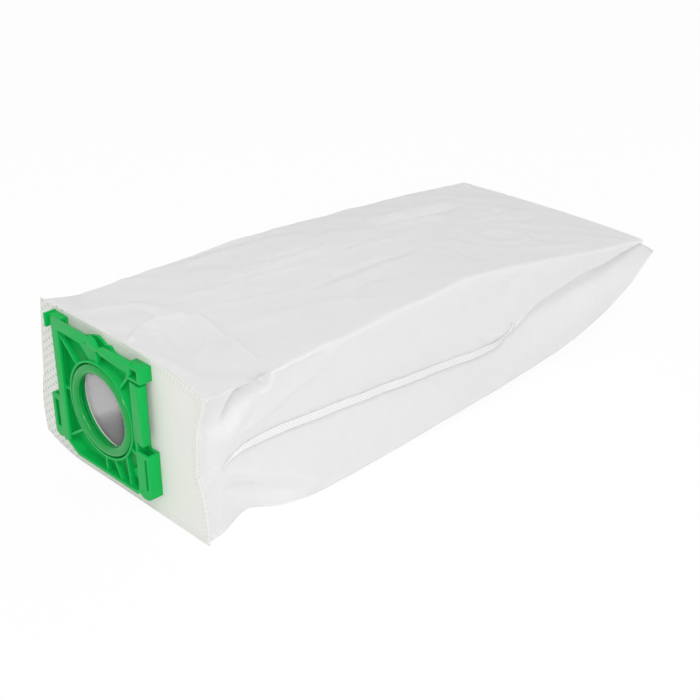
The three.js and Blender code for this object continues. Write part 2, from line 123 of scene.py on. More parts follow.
# Long edges of the sleeve: how far out each lies from the middle, and how high, in millimetres. The
# upper sheet stays level over a share of its half width, and then falls with that power's curve.
NEAR = {
    "top_out": through([(0, 80.5), (46, 82), (210, 86), (340, 89), (418, 84)]),
    "top_high": through([(0, 95.5), (46, 96), (120, 98.5), (210, 101.5), (274, 94), (340, 83),
                         (418, 68.3)]),
    "crease_out": through([(0, 72), (46, 78.5), (210, 85), (250, 87.5), (340, 90), (418, 84)]),
    "crease_high": through([(0, 72), (46, 74), (210, 60), (250, 50), (290, 63), (340, 68.5),
                            (418, 66.8)]),
    "seam_out": through([(0, 69.5), (46, 76), (120, 82), (240, 84), (290, 74), (418, 62)]),
    "seam_high": through([(0, 44), (31, 51.5), (60, 54.5), (90, 54), (126, 52), (210, 45.5),
                          (240, 42.5), (300, 54), (418, 68.4)]),
    "bottom_out": through([(0, 77), (8, 76.5), (38, 67), (55, 78.5), (80, 84), (210, 86.5),
                           (330, 92.5), (418, 95)]),
    "bottom_high": through([(0, 0), (80, 0), (210, 4.5), (274, 10.5), (330, 19.5), (380, 36),
                            (418, 60)]),
    "level": 0.0,
    "curve": 2.0,
}
FAR = {
    "top_out": through([(0, 75), (80, 78.5), (210, 86), (330, 90), (418, 93)]),
    "top_high": through([(0, 105), (30, 99), (60, 98.2), (150, 96), (210, 91), (330, 80),
                         (418, 69.3)]),
    "crease_out": through([(0, 79.3), (210, 85), (250, 87), (418, 93)]),
    "crease_high": through([(0, 76), (210, 60), (250, 52), (290, 60), (340, 65), (418, 66.9)]),
    "seam_out": through([(0, 82.5), (120, 82.5), (240, 84), (290, 70), (418, 55)]),
    "seam_high": through([(0, 50), (210, 46), (240, 44), (300, 54), (418, 68.4)]),
    "bottom_out": through([(0, 86), (60, 81), (210, 86), (330, 91), (418, 93)]),
    "bottom_high": through([(0, 8), (60, 4), (210, 5), (274, 10.1), (330, 20), (380, 37),
                            (418, 64)]),
    "level": 0.24,
    "curve": 1.3,
}
# The lower end of the pocket behind the panel's near upper corner
POCKET_LOW = through([(0, 74), (18, 70), (30, 80), (43, 89)])
TOP_MIDDLE = through([(0, 105), (46, 101), (150, 102), (210, 99), (330, 84.5), (418, 70.5)])
BOTTOM_MIDDLE = through([(0, 0), (290, 0), (340, 9), (380, 31), (418, 67.1)])
# The fold along the bottom's edge: how high its nose stands, and how far its lower edge lies back
NOSE_HIGH, NOSE_BACK = 2.4, 0.4
# The share of the bottom's half width that stays level
BOTTOM_LEVEL = 0.5

# Lines of the welded flaps as (along, up)
NEAR_FLAP = [(15, 43.5), (22, 48), (31, 51.8), (56, 54.5), (85, 54), (126, 52), (163, 49),
             (203, 46), (232, 43.4), (247, 44), (255, 48.5), (258, 55)]
FAR_FLAP = [(14, 50), (60, 51), (126, 49.5), (203, 46.5), (246, 44)]

# Columns of the sleeve's skin round its section: top, three legs, nose and bottom of each side
TOP_COLUMNS = 68
LEG_COLUMNS = (16, 12, 20)
NOSE_COLUMNS = 3
BOTTOM_COLUMNS = 14
CREASE_COLUMN = TOP_COLUMNS + LEG_COLUMNS[0]
NOSE_COLUMN = TOP_COLUMNS + sum(LEG_COLUMNS)
SIDE_END = NOSE_COLUMN + NOSE_COLUMNS


def half_section(side, x):
    """One half of the sleeve's section at each x, from the top's middle to the bottom's middle.

    It gives how far out and how high each column is, as two arrays of rows by columns.
    """
    top = side["top_out"](x), side["top_high"](x)
    crease = side["crease_out"](x), side["crease_high"](x)
    seam = side["seam_out"](x), side["seam_high"](x)
    nose = side["bottom_out"](x), side["bottom_high"](x) + NOSE_HIGH
    edge = side["bottom_out"](x) - NOSE_BACK, side["bottom_high"](x)
    outs, highs = [], []

    def run(columns, start, end, bulge=0.0):
        for i in range(columns):
            t = i / columns
            bow = bulge * 4 * t * (1 - t)
            outs.append(start[0] + (end[0] - start[0]) * t + bow)
            highs.append(start[1] + (end[1] - start[1]) * t)

    for i in range(TOP_COLUMNS):
        t = i / TOP_COLUMNS
        drop = max((t - side["level"]) / (1 - side["level"]), 0) ** side["curve"]
        outs.append(top[0] * t)
        highs.append(TOP_MIDDLE(x) + (top[1] - TOP_MIDDLE(x)) * drop)
    # The upper leg sags before the gusset opens, and the lower one is fuller where it is open
    gusset = smooth_step(GUSSET_SHUT, GUSSET_OPEN, x)
    sag = -1.2 * (1 - gusset) * smooth_step(30, 80, x)
    belly = 2.5 + 3.5 * gusset * (1 - smooth_step(380, SLEEVE_END, x))
    run(LEG_COLUMNS[0], top, crease, sag)
    run(LEG_COLUMNS[1], crease, seam)
    run(LEG_COLUMNS[2], seam, nose, belly)
    run(NOSE_COLUMNS, nose, edge)
    for i in range(BOTTOM_COLUMNS):
        t = i / BOTTOM_COLUMNS
        outs.append(edge[0] * (1 - t))
        rise = max((1 - t - BOTTOM_LEVEL) / (1 - BOTTOM_LEVEL), 0) ** 2
        highs.append(BOTTOM_MIDDLE(x) + (edge[1] - BOTTOM_MIDDLE(x)) * rise)
    return np.array(outs).T, np.array(highs).T


def round_corners(grid, softness, passes):
    """Rounds the ring of columns in each row; softness is each point's share."""
    for _ in range(passes):
        blend = (np.roll(grid, 1, axis=1) + 2 * grid + np.roll(grid, -1, axis=1)) / 4
        grid = grid + (blend - grid) * softness[..., None]
    return grid


def outward(grid):
    """Unit normals of a wrapped grid of points, pointing out of the sleeve."""
    along = np.gradient(grid, axis=0)
    around = np.roll(grid, -1, axis=1) - np.roll(grid, 1, axis=1)
    normal = np.cross(along, around)
    return normal / np.maximum(np.linalg.norm(normal, axis=2, keepdims=True), 1e-9)


def near_line(a, b, line):
    """How far each place lies from a line of points, and its share of the way along the line."""
    points = np.array(line, float)
    lengths = np.maximum(np.hypot(*np.diff(points, axis=0).T), 1e-9)
    starts = np.concatenate([[0], np.cumsum(lengths)])
    distance = np.full(a.shape, 1e9)
    share = np.zeros(a.shape)
    for start, end, length, before in zip(points[:-1], points[1:], lengths, starts[:-1]):
        way = (end - start) / length
        t = np.clip((a - start[0]) * way[0] + (b - start[1]) * way[1], 0, length)
        away = np.hypot(a - start[0] - way[0] * t, b - start[1] - way[1] * t)
        closer = away < distance
        distance = np.where(closer, away, distance)
        share = np.where(closer, (before + t) / starts[-1], share)
    return distance, share


def fold(a, b, line, width, height, sharp, fade):
    """A ridge of that width and height along a line, or a valley where the height is negative.

    sharp is the power of its slopes, and fade the share of the line over which each end dies out.
    """
    distance, share = near_line(a, b, line)
    # The fade starts just before the line does, so that the very ends keep a trace of the fold
    before = -0.02
    ends = smooth_step(before, fade, share) * smooth_step(before, fade, 1 - share)
    return height * ends * np.exp(-((distance / width) ** sharp))


# Folds of the upper sheet: line of (along, across), width and height in millimetres, and then the
# power of the slopes and the fade of the ends
TOP_FOLDS = [
    ([(3, -12), (10, -6), (20, 1), (35, 5), (54, 2)], 3.6, -3.2, 1.2, 0.06),
    ([(4, 10), (20, 16), (40, 16)], 11.0, -1.4, 2.0, 0.2),
    ([(2, 44), (22, 40), (38, 34), (50, 14)], 3.4, -1.9, 1.5, 0.2),
    ([(52, 46), (55, 30), (56, 12)], 6.0, 1.6, 2.0, 0.3),
    ([(20, -24), (34, -28), (44, -50)], 12.0, 1.5, 2.0, 0.2),
    ([(57, 0), (53, -28), (50, -50), (47, -72)], 2.2, -2.0, 1.3, 0.08),
    ([(47, 2), (45, -20), (43, -40)], 5.0, 1.5, 2.0, 0.3),
    ([(66, -8), (64, -34), (58, -60)], 6.0, 1.5, 2.0, 0.3),
    ([(46, -22), (33, -40), (21, -48)], 2.7, -1.5, 1.4, 0.3),
    ([(3, -30), (7, -52), (10, -66)], 8.0, -1.6, 2.0, 0.3),
    ([(58, 24), (82, 17), (100, 14), (128, 8), (149, 5), (177, 3), (231, 2), (272, 14)],
     2.2, -2.2, 1.2, 0.12),
    ([(82, 25), (128, 15), (150, 12), (180, 10), (226, 9)], 4.0, 1.5, 2.0, 0.3),
    ([(55, 79), (64, 68), (80, 60)], 3.1, -1.2, 1.4, 0.3),
    ([(65, 3), (100, -14), (128, -20)], 3.1, -1.7, 1.4, 0.4),
    ([(74, -2), (104, -8), (130, -12)], 6.0, 1.2, 2.0, 0.3),
    ([(86, 60), (100, 50), (112, 38), (123, 28), (141, 19), (176, 18), (222, 28), (250, 32)],
     2.2, -2.2, 1.2, 0.15),
    ([(128, 34), (150, 27), (176, 27), (222, 36)], 4.0, 1.5, 2.0, 0.3),
    ([(236, 33), (262, 35), (291, 36), (352, 38)], 3.8, 2.9, 1.5, 0.2),
    ([(240, 44), (300, 48), (370, 52)], 7.0, -2.2, 2.0, 0.3),
    ([(232, 24), (270, 26), (330, 24)], 5.0, -1.5, 2.0, 0.3),
    ([(84, 77), (120, 77), (159, 75), (215, 64)], 5.0, 1.3, 2.0, 0.25),
    ([(84, 62), (120, 63), (165, 60), (205, 52)], 6.0, -1.5, 2.0, 0.3),
    ([(180, 48), (220, 50), (262, 58)], 8.0, 1.2, 2.0, 0.3),
    ([(110, -26), (160, -23), (213, -23), (249, -17)], 4.0, 1.5, 1.8, 0.25),
    ([(246, -14), (256, -34), (250, -66)], 4.0, 1.7, 1.8, 0.2),
    ([(262, -14), (272, -36), (268, -62)], 6.0, -1.2, 2.0, 0.3),
    ([(120, -34), (180, -32), (240, -28)], 6.0, -1.1, 2.0, 0.3),
    ([(330, -38), (338, -63)], 2.5, 2.2, 1.5, 0.3),
    ([(318, 4), (345, 1), (392, 8)], 2.2, -2.2, 1.4, 0.3),
    ([(326, 11), (352, 9), (390, 17)], 3.4, 1.7, 2.0, 0.3),
    ([(338, -6), (362, -10), (388, -6)], 4.0, 1.2, 2.0, 0.3),
    ([(296, -60), (325, -71), (356, -74)], 2.9, -1.7, 1.5, 0.3),
    ([(110, -40), (135, -52), (150, -66)], 4.0, -1.3, 2.0, 0.3),
    ([(140, -48), (168, -42), (192, -50)], 5.0, 1.2, 2.0, 0.3),
    ([(196, -62), (222, -52), (238, -44)], 5.0, -1.1, 2.0, 0.3),
    ([(70, -40), (92, -34), (112, -44)], 5.0, -1.1, 2.0, 0.3),
]

# Folds of the near side in the same way, with lines of (along, up)
SIDE_FOLDS = [
    ([(45, 84), (38, 77), (30, 66)], 3.4, 1.2, 2.0, 0.2),
    ([(27, 62), (40, 69), (57, 76), (79, 83), (97, 91)], 3.6, -2.4, 1.5, 0.15),
    ([(52, 89), (70, 91), (88, 97)], 7.0, 1.2, 2.0, 0.3),
    ([(12, 36), (16, 32), (29, 25), (44, 19), (58, 12), (72, 4)], 6.0, 4.0, 2.0, 0.15),
    ([(14, 44), (20, 39), (40, 33), (63, 23), (84, 8)], 7.0, -4.6, 2.0, 0.2),
    ([(5, 90), (6, 60), (4, 40), (7, 20), (9, 3)], 4.0, 1.3, 2.0, 0.1),
    ([(1, 36), (8, 40), (14, 46)], 2.2, -1.2, 1.5, 0.2),
    ([(9, 50), (14, 36), (12, 22), (6, 6)], 3.0, -1.0, 2.0, 0.3),
    ([(250, 90), (252, 82), (248, 70)], 11.0, 1.8, 2.0, 0.3),
    ([(276, 78), (272, 68), (268, 60)], 5.0, -1.2, 2.0, 0.3),
    ([(352, 52), (347, 42), (338, 30)], 8.0, -1.6, 2.0, 0.3),
    ([(372, 60), (362, 48)], 6.0, 1.0, 2.0, 0.3),
    ([(70, 82), (64, 66), (62, 60)], 9.0, 1.0, 2.0, 0.3),
    ([(96, 88), (86, 70), (80, 60)], 5.0, -0.7, 2.0, 0.3),
    ([(205, 60), (222, 52), (238, 47)], 5.0, 0.9, 2.0, 0.3),
    ([(226, 36), (240, 33), (262, 34)], 4.0, -0.8, 2.0, 0.3),
]

# Soft swells that no line describes: length along, length across, height, and a shift of the wave
SWELLS = [(61.0, 47.0, 0.35, 0.4), (37.0, 29.0, 0.22, 1.9), (23.0, 31.0, 0.16, 3.1),
          (13.0, 17.0, 0.07, 5.0)]
SWELL_SHARE = 1.1
# The far side's folds are the near side's, turned upside down and shallower
FAR_FOLD_SHARE = 0.6


def swell(a, b):
    """The soft swells of the fabric at each place."""
    total = np.zeros(a.shape)
    for along, across, height, shift in SWELLS:
        bend = 1.7 * np.sin(b / (1.9 * across) + shift)
        wave = height * np.sin(2 * np.pi * a / along + bend)
        total += wave * np.cos(2 * np.pi * b / across + 2 * shift)
    return total


def round_print(along, across):
    """The faint round print near the tail: a low dome with a groove round it."""
    centre_along, centre_across, stretch = 310, -35, 1.3
    dome_high, dome_radius = 1.4, 8
    groove_deep, groove_radius, groove_width = 1.7, 14, 2.6
    away = np.hypot((along - centre_along) / stretch, across - centre_across)
    dome = dome_high * np.exp(-((away / dome_radius) ** 2))
    groove = groove_deep * np.exp(-(((away - groove_radius) / groove_width) ** 2))
    return dome - groove


def closed_section(x):
    """The section at each x: down the near side, and up the far side to just before the start."""
    near_out, near_high = half_section(NEAR, x)
    far_out, far_high = half_section(FAR, x)
    middle = np.zeros((len(x), 1))
    across = np.concatenate([-near_out, middle, far_out[:, :0:-1]], axis=1)
    high = np.concatenate([near_high, BOTTOM_MIDDLE(x)[:, None], far_high[:, :0:-1]], axis=1)
    along = np.repeat(x[:, None], across.shape[1], axis=1)
    return np.stack([along, across, high], axis=2)


def corner_softness(x, place, near_half):
    """How far each point gives way when the section's corners are rounded."""
    # The fold over the pocket is crisp, and turns into a soft roll beyond its tip
    crisp = 0.03
    near_roll = crisp + (1 - crisp) * smooth_step(44, 66, x)[:, None]
    far_roll, crease, nose = 0.7, 0.25, 0.5
    roll = np.where(near_half, near_roll, far_roll)
    softness = np.ones((len(x), place.shape[1]))
    for column, share in ((TOP_COLUMNS, roll), (CREASE_COLUMN, crease), (NOSE_COLUMN, nose)):
        away = smooth_step(1, 4, abs(place - column))
        softness = np.minimum(softness, share + (1 - share) * away)
    return softness


def fold_lift(grid, place, near_half):
    """How far the folds, the round print and the swells raise each point of the skin."""
    along, across, high = grid[..., 0], grid[..., 1], grid[..., 2]
    on_top = 1 - smooth_step(TOP_COLUMNS - 3, TOP_COLUMNS + 3, place)
    below_top = smooth_step(TOP_COLUMNS - 1, TOP_COLUMNS + 3, place)
    on_side = below_top * (1 - smooth_step(SIDE_END - 4, SIDE_END, place))
    on_near_side = on_side * near_half
    on_far_side = on_side * ~near_half

    lift = np.zeros(along.shape)
    for line, width, height, sharp, fade in TOP_FOLDS:
        lift += on_top * fold(along, across, line, width, height, sharp, fade)
    upside_down = 100 - high * 1.05
    for line, width, height, sharp, fade in SIDE_FOLDS:
        lift += on_near_side * fold(along, high, line, width, height, sharp, fade)
        far_height = height * FAR_FOLD_SHARE
        lift += on_far_side * fold(along, upside_down, line, width, far_height, sharp, fade)
    lift += on_top * round_print(along, across)
    way_round = np.where(on_top > 0.5, across, high)
    where = on_top + on_side * smooth_step(40, 80, along)
    return lift + SWELL_SHARE * swell(along, way_round) * where


def press_pocket(grid, x, on_wall):
    """Presses in the pocket under the upper sheet's near corner, in the columns of on_wall.

    The wall slants in below the edge, and comes back at a ridge beyond the pocket's tip.
    """
    grows = smooth_step(-3, 38, x) * smooth_step(0.5, 5, x)
    deep = POCKET_DEPTH * grows * (1 - smooth_step(43.5, 47, x))
    edge, low = NEAR["top_high"](x)[:, None], POCKET_LOW(x)[:, None]
    soft = (12 - 7 * smooth_step(15, 38, x))[:, None]
    below = edge - grid[..., 2]
    slant = np.clip(below / (edge - low), 0, 1)
    under = 0.75 * smooth_step(0.2, 3.0, below) + 0.25 * slant
    inside = under * smooth_step(low - soft, low, grid[..., 2])
    grid[..., 1] += deep[:, None] * inside * on_wall


def sleeve_points(rows, wrinkles):
    """The sleeve's skin as rows of closed columns, in millimetres from the panel's face."""
    # The rows are closest where the pocket's sharp folds are
    shares = np.linspace(0, 1, rows)
    x = np.interp(shares, [0, FINE_ROWS_SHARE, 1], [SLEEVE_START, FINE_ROWS_END, SLEEVE_END])
    grid = closed_section(x)
    columns = grid.shape[1]
    # The number of each column, counted down either side from the top's middle
    place = np.minimum(np.arange(columns), columns - np.arange(columns))[None, :]
    near_half = np.arange(columns)[None, :] <= columns / 2

    grid = round_corners(grid, corner_softness(x, place, near_half), passes=8)
    lift = fold_lift(grid, place, near_half)
    # Folds die out at both ends, where the fabric is welded flat
    along = grid[..., 0]
    ends = smooth_step(SLEEVE_START - 3, 8, along) * (1 - smooth_step(396, 414, along))
    grid = grid + outward(grid) * (lift * (ends * wrinkles))[..., None]
    grid[..., 0] = x[:, None]
    grid[..., 2] = np.maximum(grid[..., 2], 0.0)
    press_pocket(grid, x, (place > TOP_COLUMNS) & (place < SIDE_END) & near_half)
    return grid


def to_row(points):
    """Points in millimetres from the panel's face, in the row's frame in metres."""
    points = np.array(points, float) * MM
    points[..., 0] += PANEL_FACE
    return points


def side_place(grid, near, along, high):
    """How far across the sleeve's side is at a place along it and a height."""
    rows = np.interp(along, grid[:, 0, 0], np.arange(len(grid)))
    legs = slice(TOP_COLUMNS, SIDE_END)
    ring = grid if near else np.roll(grid[:, ::-1], 1, axis=1)
    places = []
    for row, up in zip(rows, high):
        low = int(min(row, len(grid) - 2))
        share = row - low
        wall = ring[low, legs] * (1 - share) + ring[low + 1, legs] * share
        places.append(np.interp(up, wall[::-1, 2], wall[::-1, 1]))
    return np.array(places)


# Materials


def add_node(tree, kind, inputs=None, **settings):
    """Adds a node with its settings; an input is a value, or the socket that it is linked from."""
    made = tree.nodes.new(kind)
    for name, value in settings.items():
        setattr(made, name, value)
    for name, value in (inputs or {}).items():
        if isinstance(value, bpy.types.NodeSocket):
            tree.links.new(value, made.inputs[name])
        else:
            made.inputs[name].default_value = value
    return made


def new_material(name):
    """A new material whose node tree is empty, and that tree."""
    material = bpy.data.materials.new(name)
    material.use_nodes = True
    material.node_tree.nodes.clear()
    return material, material.node_tree


def metres_of_cloth(tree):
    """The cloth's own lengths, in metres, so that a pattern follows the folds."""
    return add_node(tree, "ShaderNodeUVMap", uv_map="cloth").outputs["UV"]


def spunbond_fabric(colour, glow):
    """Non-woven polypropylene, spun and heat-bonded: matt white, with a fine mottle of its fibres.

    Its thin sheet lets some light through, which makes the inside of the bag pale. The fibres are
    far too fine to draw, so the mottle stands for their uneven lie, at 1.6 mm.
    """
    material, tree = new_material("spunbond_fabric")
    cloth = metres_of_cloth(tree)
    fibres = add_node(tree, "ShaderNodeTexNoise", {
        "Vector": cloth, "Scale": 1 / (1.6 * MM), "Detail": 3.0, "Roughness": 0.6})
    clouds = add_node(tree, "ShaderNodeTexNoise", {
        "Vector": cloth, "Scale": 1 / (26 * MM), "Detail": 4.0, "Roughness": 0.55})
    crumples = add_node(tree, "ShaderNodeTexNoise", {
        "Vector": cloth, "Scale": 1 / (11 * MM), "Detail": 3.0, "Roughness": 0.5,
        "Distortion": 0.7})
    pale, shade = (*colour, 1), (*[c * 0.97 for c in colour], 1)
    tone = add_node(tree, "ShaderNodeMix", {
        "Factor": clouds.outputs["Fac"], "A": shade, "B": pale}, data_type="RGBA")
    speck = add_node(tree, "ShaderNodeMapRange", {
        "Value": fibres.outputs["Fac"], "From Min": 0.35, "From Max": 0.65, "To Min": 0.975,
        "To Max": 1.0})
    base = add_node(tree, "ShaderNodeVectorMath", {0: tone.outputs["Result"]}, operation="SCALE")
    tree.links.new(speck.outputs["Result"], base.inputs["Scale"])
    soft = add_node(tree, "ShaderNodeBump", {
        "Height": crumples.outputs["Fac"], "Distance": 0.9 * MM, "Strength": 0.35})
    fine = add_node(tree, "ShaderNodeBump", {
        "Height": fibres.outputs["Fac"], "Distance": 0.12 * MM, "Strength": 0.4,
        "Normal": soft.outputs["Normal"]})
    skin = add_node(tree, "ShaderNodeBsdfPrincipled", {
        "Base Color": base.outputs["Vector"], "Roughness": 0.85, "IOR": 1.49,
        "Specular IOR Level": 0.25, "Subsurface Weight": glow, "Subsurface Radius": (1.0, 1.0, 1.0),
        "Subsurface Scale": 2.7 * MM, "Normal": fine.outputs["Normal"]})
    add_node(tree, "ShaderNodeOutputMaterial", {"Surface": skin.outputs["BSDF"]})
    return material


def dots(tree, place, pitch, radius):
    """1 inside the marks of a staggered grid on the first two axes of place, and 0 between."""
    even = add_node(tree, "ShaderNodeMapping", {
        "Vector": place, "Scale": (1 / pitch, 1 / pitch, 0)})
    masks = []
    # Each mark has a soft edge, from 0.6 to 1.25 of its radius
    for shift in (0.0, 0.5):
        moved = add_node(tree, "ShaderNodeVectorMath", {
            0: even.outputs["Vector"], 1: (shift, shift, 0)}, operation="ADD")
        cell = add_node(tree, "ShaderNodeVectorMath", {
            0: moved.outputs["Vector"]}, operation="FRACTION")
        centred = add_node(tree, "ShaderNodeVectorMath", {
            0: cell.outputs["Vector"], 1: (0.5, 0.5, 0)}, operation="SUBTRACT")
        away = add_node(tree, "ShaderNodeVectorMath", {
            0: centred.outputs["Vector"]}, operation="LENGTH")
        masks.append(add_node(tree, "ShaderNodeMapRange", {
            "Value": away.outputs["Value"], "From Min": radius / pitch * 1.25,
            "From Max": radius / pitch * 0.6}, interpolation_type="SMOOTHSTEP"))
    return add_node(tree, "ShaderNodeMath", {
        0: masks[0].outputs["Result"], 1: masks[1].outputs["Result"]},
        operation="MAXIMUM").outputs["Value"]


def welded_seam(colour):
    """Two layers of the fabric, ultrasonically welded: a white strip of small pressed marks.

    The marks are drawn at 2.6 mm and the grain at 1.3 mm, coarser than the real ones, to show.
    """
    material, tree = new_material("welded_seam")
    marks = dots(tree, metres_of_cloth(tree), 2.6 * MM, 0.62 * MM)
    grain = add_node(tree, "ShaderNodeTexNoise", {
        "Vector": metres_of_cloth(tree), "Scale": 1 / (1.3 * MM), "Detail": 2.0})
    tone = add_node(tree, "ShaderNodeMix", {
        "Factor": marks, "A": (*colour, 1), "B": (*[c * 0.88 for c in colour], 1)},
        data_type="RGBA")
    pressed = add_node(tree, "ShaderNodeBump", {
        "Height": marks, "Distance": 0.25 * MM, "Strength": 0.5}, invert=True)
    rough = add_node(tree, "ShaderNodeBump", {
        "Height": grain.outputs["Fac"], "Distance": 0.2 * MM, "Strength": 0.5,
        "Normal": pressed.outputs["Normal"]})
    skin = add_node(tree, "ShaderNodeBsdfPrincipled", {
        "Base Color": tone.outputs["Result"], "Roughness": 0.7, "Specular IOR Level": 0.3,
        "Normal": rough.outputs["Normal"]})
    add_node(tree, "ShaderNodeOutputMaterial", {"Surface": skin.outputs["BSDF"]})
    return material


def stiff_fleece(colour, dot_colour, pitch):
    """Needled fleece pressed onto card: cream and matt, with a dotted weld along its far border.

    A finer weld runs round the whole rim. The fibres are drawn at 1.4 mm, coarser than the real
    ones, so that they show.
    """
    material, tree = new_material("stiff_fleece")
    place = add_node(tree, "ShaderNodeTexCoord").outputs["Object"]
    # The rows of dots lean by 8 degrees, as the far border does
    turned = add_node(tree, "ShaderNodeVectorRotate", {
        "Vector": place, "Angle": math.radians(90)}, rotation_type="Y_AXIS")
    upright = add_node(tree, "ShaderNodeVectorRotate", {
        "Vector": turned.outputs["Vector"], "Angle": math.radians(8)}, rotation_type="Z_AXIS")
    marks = dots(tree, upright.outputs["Vector"], pitch, 0.95 * MM)
    across = add_node(tree, "ShaderNodeSeparateXYZ", {"Vector": place})
    # The dots show only on the strip beyond about 50 mm on the far side
    border = add_node(tree, "ShaderNodeMapRange", {
        "Value": across.outputs["Y"], "From Min": 47 * MM, "From Max": 50 * MM})
    strip = add_node(tree, "ShaderNodeMath", {
        0: marks, 1: border.outputs["Result"]}, operation="MULTIPLY")
    rim = metres_of_cloth(tree)
    # The fine weld covers the outer 5 mm or so of the rim
    inward = add_node(tree, "ShaderNodeSeparateXYZ", {"Vector": rim})
    edging = add_node(tree, "ShaderNodeMapRange", {
        "Value": inward.outputs["Y"], "From Min": 5.6 * MM, "From Max": 5.0 * MM, "To Max": 0.45})
    fine_marks = add_node(tree, "ShaderNodeMath", {
        0: dots(tree, rim, 3.1 * MM, 0.5 * MM), 1: edging.outputs["Result"]}, operation="MULTIPLY")
    shown = add_node(tree, "ShaderNodeMath", {
        0: strip.outputs["Value"], 1: fine_marks.outputs["Value"]}, operation="MAXIMUM")
    fibres = add_node(tree, "ShaderNodeTexNoise", {
        "Vector": place, "Scale": 1 / (1.4 * MM), "Detail": 4.0, "Roughness": 0.65})
    clouds = add_node(tree, "ShaderNodeTexNoise", {
        "Vector": place, "Scale": 1 / (18 * MM), "Detail": 3.0})
    tone = add_node(tree, "ShaderNodeMix", {
        "Factor": clouds.outputs["Fac"], "A": (*[c * 0.96 for c in colour], 1), "B": (*colour, 1)},
        data_type="RGBA")
    dotted = add_node(tree, "ShaderNodeMix", {
        "Factor": shown.outputs["Value"], "A": tone.outputs["Result"], "B": (*dot_colour, 1)},
        data_type="RGBA")
    pressed = add_node(tree, "ShaderNodeBump", {
        "Height": shown.outputs["Value"], "Distance": 0.35 * MM, "Strength": 0.8}, invert=True)
    rough = add_node(tree, "ShaderNodeBump", {
        "Height": fibres.outputs["Fac"], "Distance": 0.14 * MM, "Strength": 0.6,
        "Normal": pressed.outputs["Normal"]})
    skin = add_node(tree, "ShaderNodeBsdfPrincipled", {
        "Base Color": dotted.outputs["Result"], "Roughness": 0.9, "Specular IOR Level": 0.2,
        "Normal": rough.outputs["Normal"]})
    add_node(tree, "ShaderNodeOutputMaterial", {"Surface": skin.outputs["BSDF"]})
    return material


def moulded_plastic(name, colour, roughness, gloss):
    """Injection-moulded polypropylene: even colour, a soft gloss and a faint flow of the melt.

    The grain of the mould is drawn at 2.5 mm, coarser than the real one, so that it shows.
    """
    material, tree = new_material(name)
    place = add_node(tree, "ShaderNodeTexCoord").outputs["Object"]
    flow = add_node(tree, "ShaderNodeTexNoise", {
        "Vector": place, "Scale": 1 / (9 * MM), "Detail": 2.0, "Distortion": 0.8})
    tone = add_node(tree, "ShaderNodeMix", {
        "Factor": flow.outputs["Fac"], "A": (*[c * 0.93 for c in colour], 1),
        "B": (*[min(c * 1.05, 1) for c in colour], 1)}, data_type="RGBA")
    polish = add_node(tree, "ShaderNodeMapRange", {
        "Value": flow.outputs["Fac"], "To Min": roughness - 0.05, "To Max": roughness + 0.07})
    grain = add_node(tree, "ShaderNodeTexNoise", {
        "Vector": place, "Scale": 1 / (2.5 * MM), "Detail": 2.0})
    dull = add_node(tree, "ShaderNodeBump", {
        "Height": grain.outputs["Fac"], "Distance": 0.02 * MM, "Strength": 0.2})
    skin = add_node(tree, "ShaderNodeBsdfPrincipled", {
        "Base Color": tone.outputs["Result"], "Roughness": polish.outputs["Result"], "IOR": 1.49,
        "Specular IOR Level": gloss, "Normal": dull.outputs["Normal"]})
    add_node(tree, "ShaderNodeOutputMaterial", {"Surface": skin.outputs["BSDF"]})
    return material


# Making pieces


def finish_piece(name, bm, material, smooth_angle=None):
    """A bmesh as a named piece of the bag, with its material, riding on the bag."""
    mesh = bpy.data.meshes.new(name)
    bm.to_mesh(mesh)
    bm.free()
    mesh.shade_smooth()
    if smooth_angle:
        mesh.set_sharp_from_angle(angle=math.radians(smooth_angle))
    mesh.materials.append(material)
    piece = bpy.data.objects.new(name, mesh)
    bpy.context.scene.collection.objects.link(piece)
    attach(piece, "root")
    return piece


def solidify(piece, thickness, offset=-1.0):
    """Gives a piece a wall, inwards from its faces or outwards with an offset of 1."""
    wall = piece.modifiers.new("wall", "SOLIDIFY")
    wall.thickness = thickness
    wall.offset = offset


def bend_grid(bm, x_cells, y_cells, place, lay, closed=False):
    """A flat grid of cells, bent into shape.

    Both functions take the shares across and along the grid. place gives points in the row's frame,
    and lay gives where they lay on the flat cloth, in metres.
    """
    bmesh.ops.create_grid(bm, x_segments=x_cells, y_segments=y_cells, size=0.5, calc_uvs=True)
    bm.verts.index_update()
    flat = np.array([v.co[:2] for v in bm.verts]) + 0.5
    cloth = np.array(lay(flat[:, 0], flat[:, 1])).T
    layer = bm.loops.layers.uv.new("cloth")
    for face in bm.faces:
        for loop in face.loops:
            loop[layer].uv = cloth[loop.vert.index]
    for vert, point in zip(bm.verts, place(flat[:, 0], flat[:, 1])):
        vert.co = point
    if closed:
        bmesh.ops.remove_doubles(bm, verts=bm.verts, dist=SAME_PLACE)


def face_out(bm, probe, way):
    """Turns all faces round if the one nearest probe doesn't point the given way."""
    nearest = min(bm.faces, key=lambda face: (face.calc_center_median() - Vector(probe)).length)
    nearest.normal_update()
    if nearest.normal.dot(Vector(way)) < 0:
        bmesh.ops.reverse_faces(bm, faces=bm.faces)


